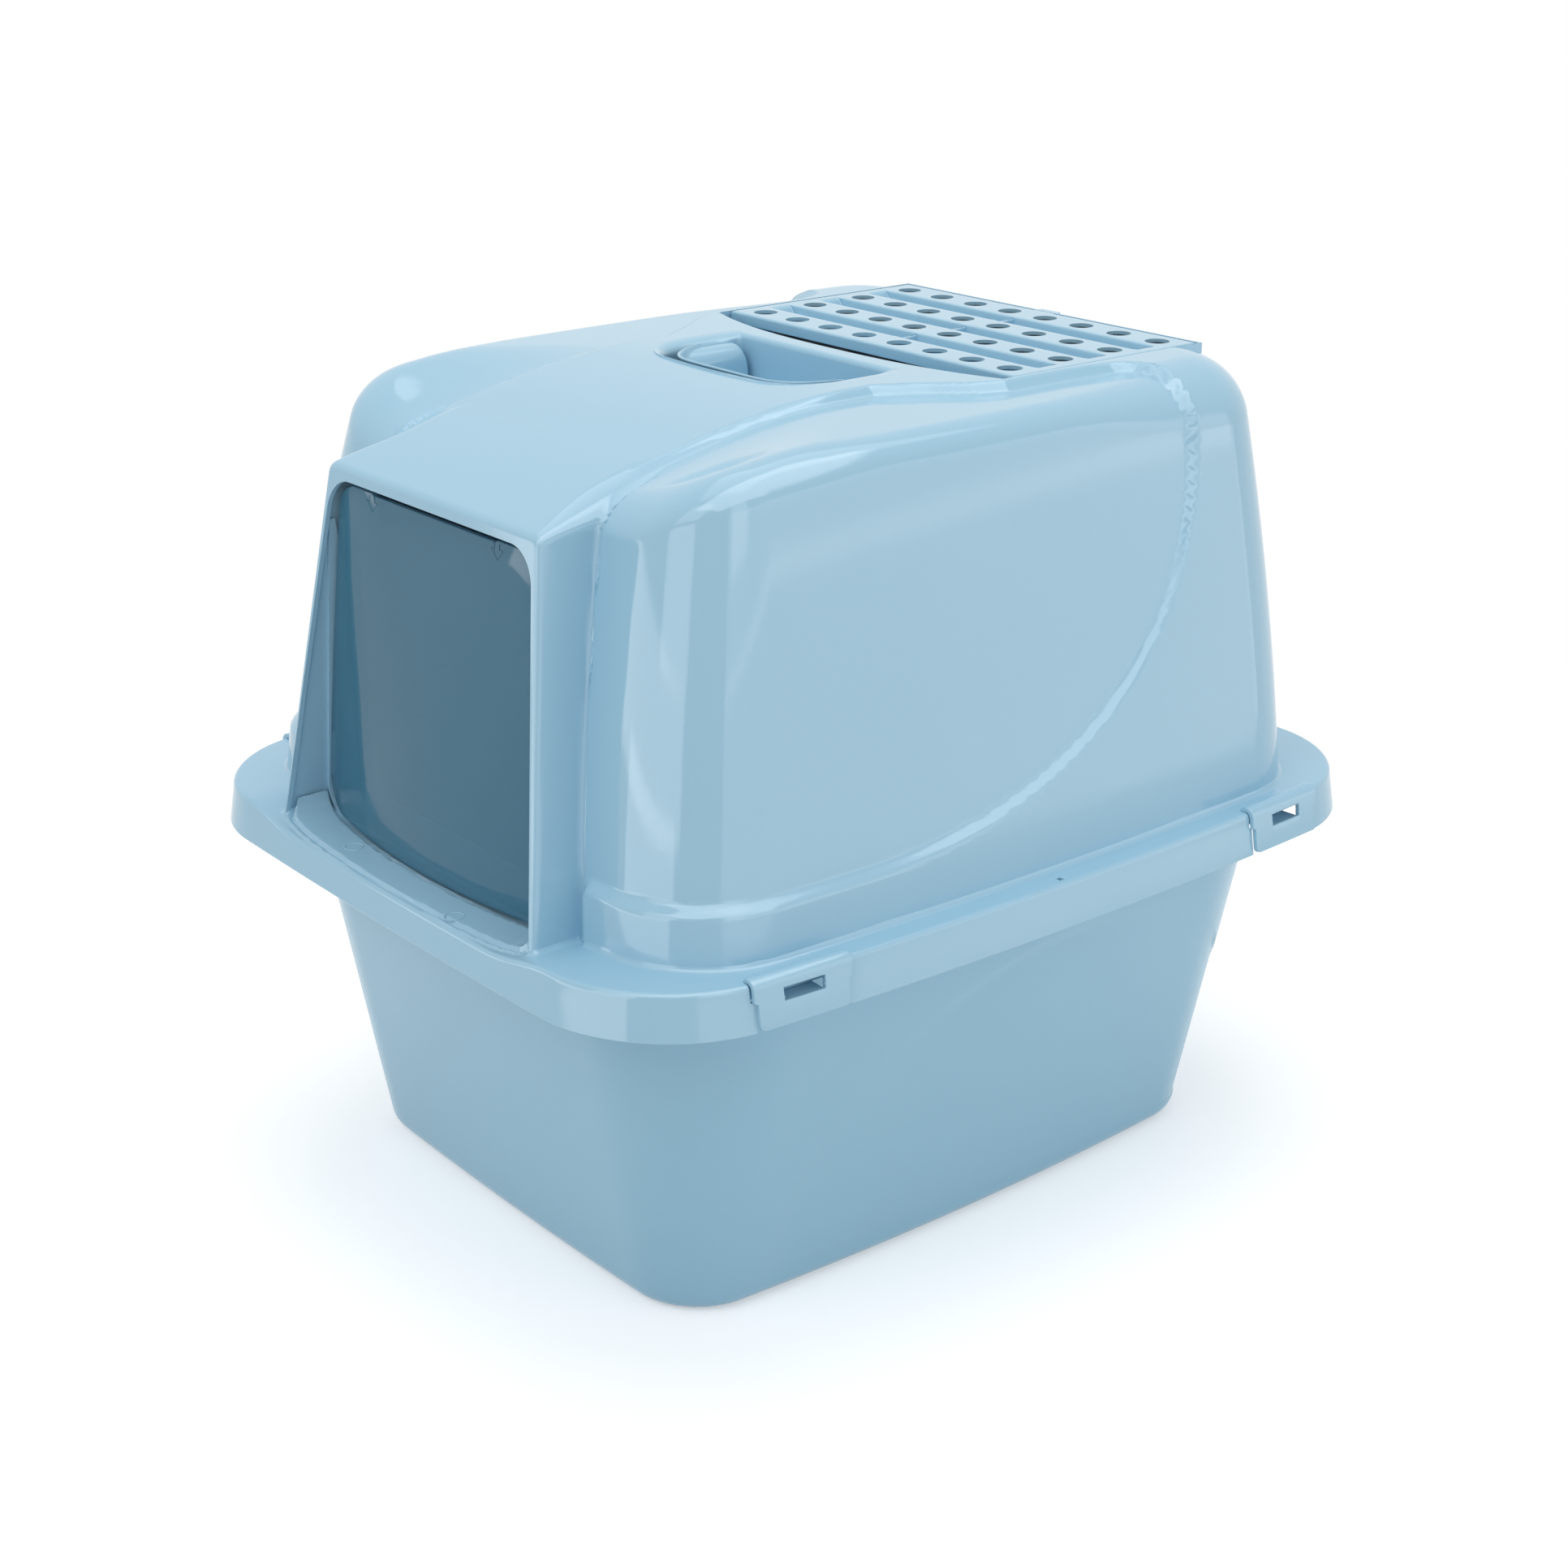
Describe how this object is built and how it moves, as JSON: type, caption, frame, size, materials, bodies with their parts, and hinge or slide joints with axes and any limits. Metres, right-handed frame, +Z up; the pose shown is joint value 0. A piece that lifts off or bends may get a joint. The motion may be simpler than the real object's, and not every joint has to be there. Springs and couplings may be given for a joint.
{
  "type": "covered litter box",
  "caption": "Covered litter box: a flared pan, a hood with a swinging flap door in a leaning porch, rim latches, a carry pocket and a vented filter cover on the roof.",
  "frame": {"origin": "on the floor, under the centre of the box", "axes": "+Z up, the doorway faces -Y, +X to the right of someone who looks at the doorway from outside"},
  "size_m": [0.4636, 0.546, 0.4605],
  "materials": {
    "pan_plastic": "smooth moulded, soft gloss",
    "hood_plastic": "smooth moulded, glossy",
    "door_plastic": "smoky blue see-through moulding",
    "filter_felt": "charcoal-filled felt"
  },
  "bodies": {
    "box": {"litter_pan": "pan_plastic", "hood": "hood_plastic", "filter_pad": "filter_felt"},
    "door": {"entry_door": "door_plastic"},
    "cover": {"filter_cover": "hood_plastic"},
    "latch_front_right_flap": {"latch_front_right": "hood_plastic"},
    "latch_rear_right_flap": {"latch_rear_right": "hood_plastic"},
    "latch_front_left_flap": {"latch_front_left": "hood_plastic"},
    "latch_rear_left_flap": {"latch_rear_left": "hood_plastic"}
  },
  "joints": [
    {"name": "door_swing", "type": "hinge", "parent": "box", "child": "door", "pos_m": [0, -0.2265, 0.407], "axis": [1, 0, 0], "range_deg": [-65, 65]},
    {"name": "filter_cover_hinge", "type": "hinge", "parent": "box", "child": "cover", "pos_m": [0, 0.0615, 0.4535], "axis": [1, 0, 0], "range_deg": [0, 95]},
    {"name": "latch_front_right_hinge", "type": "hinge", "parent": "box", "child": "latch_front_right_flap", "pos_m": [0.22015, -0.17361, 0.2218], "axis": [-0.0651, -0.9979, 0], "range_deg": [0, 90]},
    {"name": "latch_rear_right_hinge", "type": "hinge", "parent": "box", "child": "latch_rear_right_flap", "pos_m": [0.22015, 0.17361, 0.2218], "axis": [0.0651, -0.9979, 0], "range_deg": [0, 90]},
    {"name": "latch_front_left_hinge", "type": "hinge", "parent": "box", "child": "latch_front_left_flap", "pos_m": [-0.22015, -0.17361, 0.2218], "axis": [-0.0651, 0.9979, 0], "range_deg": [0, 90]},
    {"name": "latch_rear_left_hinge", "type": "hinge", "parent": "box", "child": "latch_rear_left_flap", "pos_m": [-0.22015, 0.17361, 0.2218], "axis": [0.0651, 0.9979, 0], "range_deg": [0, 90]}
  ]
}
